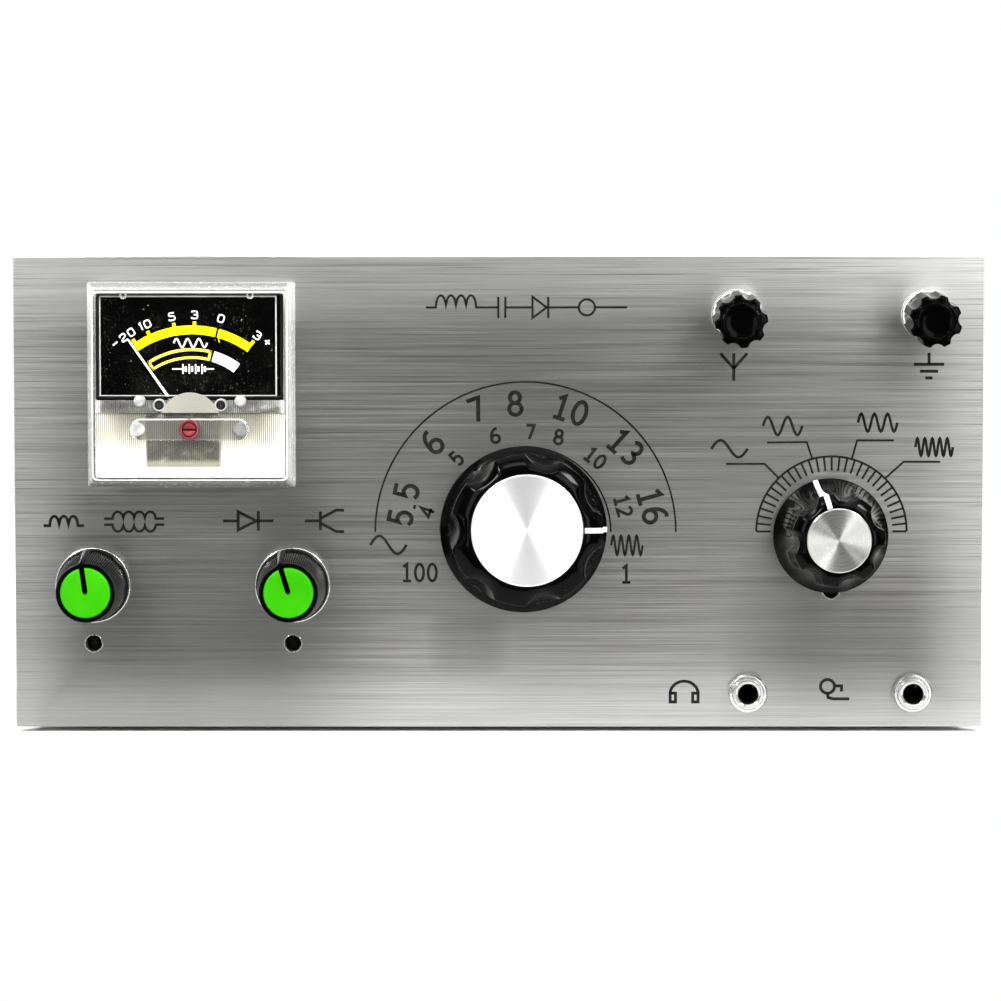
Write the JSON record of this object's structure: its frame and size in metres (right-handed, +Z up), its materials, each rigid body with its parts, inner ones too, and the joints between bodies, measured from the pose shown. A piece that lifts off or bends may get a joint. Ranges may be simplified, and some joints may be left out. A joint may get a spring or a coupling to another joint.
{
  "type": "crystal radio",
  "caption": "Table-top crystal radio: brushed metal front panel with level meter, tuning dial, rotary switches, screw terminals and jacks on a folded sheet case.",
  "frame": {"origin": "centre of the bounding box's underside, on the table under the middle of the radio", "axes": "+Z up; the front panel faces -Y; +X is to the right as seen from the front"},
  "size_m": [0.1918, 0.098, 0.0945],
  "materials": {
    "brushed_panel": "brushed",
    "sheet_aluminium": "mill finish",
    "cover_paint": "fine textured powder coat",
    "black_screws": "blackened",
    "foot_rubber": "matt",
    "clear_acrylic": "polished clear",
    "ivory_plastic": "translucent cream",
    "dial_black": "satin black print",
    "hub_grey": "satin",
    "pole_steel": "satin",
    "brass_contacts": "tinned brass",
    "nickel": "bright nickel",
    "nickel_jack": "bright nickel",
    "pointer_white": "satin white",
    "adjuster_red": "translucent red",
    "vane_aluminium": "satin",
    "white_ceramic": "unglazed",
    "black_bakelite": "polished phenolic",
    "spun_aluminium": "spun facing",
    "shaft_steel": "turned",
    "zinc_plate": "zinc plated",
    "black_knurled": "fine knurl",
    "green_cap": "bright green insert",
    "phenolic": "paper laminate",
    "black_nylon": "moulded",
    "copper_enamel": "enamelled copper wire",
    "board_green": "solder mask",
    "white_nylon": "moulded",
    "diode_glass": "glass body",
    "transistor_black": "moulded epoxy",
    "resistor_body": "lacquered",
    "disc_ceramic": "dipped ceramic",
    "wire_red": "PVC insulation"
  },
  "bodies": {
    "root": {"front_panel": "brushed_panel", "chassis": "sheet_aluminium", "cover": "cover_paint", "cover_screws": "black_screws", "feet": "foot_rubber", "meter_cover": "clear_acrylic", "meter_case": "ivory_plastic", "meter_dial_plate": "dial_black", "meter_mask": "ivory_plastic", "meter_hub_cover": "hub_grey", "meter_magnet": "pole_steel", "meter_terminals": "brass_contacts", "meter_nuts": "nickel", "capacitor_frame": "sheet_aluminium", "capacitor_stator": "vane_aluminium", "capacitor_insulators": "white_ceramic", "bushing_nuts": "nickel", "band_switch_body": "zinc_plate", "coil_switch_body": "zinc_plate", "detector_switch_body": "zinc_plate", "switch_wafers": "phenolic", "switch_terminals": "brass_contacts", "antenna_post_stud": "nickel", "ground_post_stud": "nickel", "post_insulators": "black_nylon", "post_nuts": "nickel", "headphone_jack": "nickel_jack", "earphone_jack": "nickel_jack", "jack_nuts": "nickel", "jack_contacts": "brass_contacts", "coil_former": "phenolic", "antenna_winding": "copper_enamel", "detector_winding": "copper_enamel", "circuit_board": "board_green", "board_standoffs": "white_nylon", "germanium_diode": "diode_glass", "detector_transistor": "transistor_black", "resistors": "resistor_body", "disc_capacitors": "disc_ceramic", "wiring": "wire_red"},
    "tuning": {"tuning_knob": "black_bakelite", "tuning_knob_disc": "spun_aluminium", "tuning_set_screw": "shaft_steel", "capacitor_rotor": "vane_aluminium"},
    "band_selector": {"band_knob": "black_bakelite", "band_knob_disc": "spun_aluminium", "band_switch_shaft": "shaft_steel"},
    "coil_selector": {"coil_switch_knob": "black_knurled", "coil_switch_cap": "green_cap", "coil_switch_shaft": "shaft_steel"},
    "detector_selector": {"detector_switch_knob": "black_knurled", "detector_switch_cap": "green_cap", "detector_switch_shaft": "shaft_steel"},
    "meter_needle": {"meter_pointer": "pointer_white"},
    "meter_zero_screw": {"zero_adjuster": "adjuster_red"},
    "antenna_clamp": {"antenna_post_washer": "nickel"},
    "antenna_cap": {"antenna_post_cap": "black_bakelite"},
    "ground_clamp": {"ground_post_washer": "nickel"},
    "ground_cap": {"ground_post_cap": "black_bakelite"}
  },
  "joints": [
    {"name": "tuning_turn", "type": "hinge", "parent": "root", "child": "tuning", "pos_m": [0.0053, -0.027, 0.04045], "axis": [0, -1, 0], "range_deg": [0, 180]},
    {"name": "band_turn", "type": "hinge", "parent": "root", "child": "band_selector", "pos_m": [0.066, -0.027, 0.0399], "axis": [0, -1, 0], "range_deg": [-60, 30]},
    {"name": "coil_switch_turn", "type": "hinge", "parent": "root", "child": "coil_selector", "pos_m": [-0.0804, -0.027, 0.02935], "axis": [0, -1, 0], "range_deg": [-30, 0]},
    {"name": "detector_switch_turn", "type": "hinge", "parent": "root", "child": "detector_selector", "pos_m": [-0.0408, -0.027, 0.02935], "axis": [0, -1, 0], "range_deg": [-30, 0]},
    {"name": "needle_swing", "type": "hinge", "parent": "root", "child": "meter_needle", "pos_m": [-0.06045, -0.027, 0.0607], "axis": [0, 1, 0], "range_deg": [0, 70], "stiffness_Nm_per_rad": 0.00002, "springref_deg": -11.46},
    {"name": "zero_turn", "type": "hinge", "parent": "root", "child": "meter_zero_screw", "pos_m": [-0.06045, -0.027, 0.0608], "axis": [0, -1, 0], "range_deg": [-60, 60]},
    {"name": "antenna_clamp_travel", "type": "slide", "parent": "root", "child": "antenna_clamp", "axis": [0, -1, 0], "range_m": [0, 0.00351]},
    {"name": "antenna_cap_turn", "type": "hinge", "parent": "antenna_clamp", "child": "antenna_cap", "pos_m": [0.0472, -0.027, 0.08295], "axis": [0, -1, 0], "range_deg": [0, 1800]},
    {"name": "ground_clamp_travel", "type": "slide", "parent": "root", "child": "ground_clamp", "axis": [0, -1, 0], "range_m": [0, 0.00351]},
    {"name": "ground_cap_turn", "type": "hinge", "parent": "ground_clamp", "child": "ground_cap", "pos_m": [0.0846, -0.027, 0.08295], "axis": [0, -1, 0], "range_deg": [0, 1800]}
  ],
  "couplings": [
    {"joint": "antenna_clamp_travel", "follows": "antenna_cap_turn", "m_per_rad": 0.00011141},
    {"joint": "ground_clamp_travel", "follows": "ground_cap_turn", "m_per_rad": 0.00011141}
  ]
}
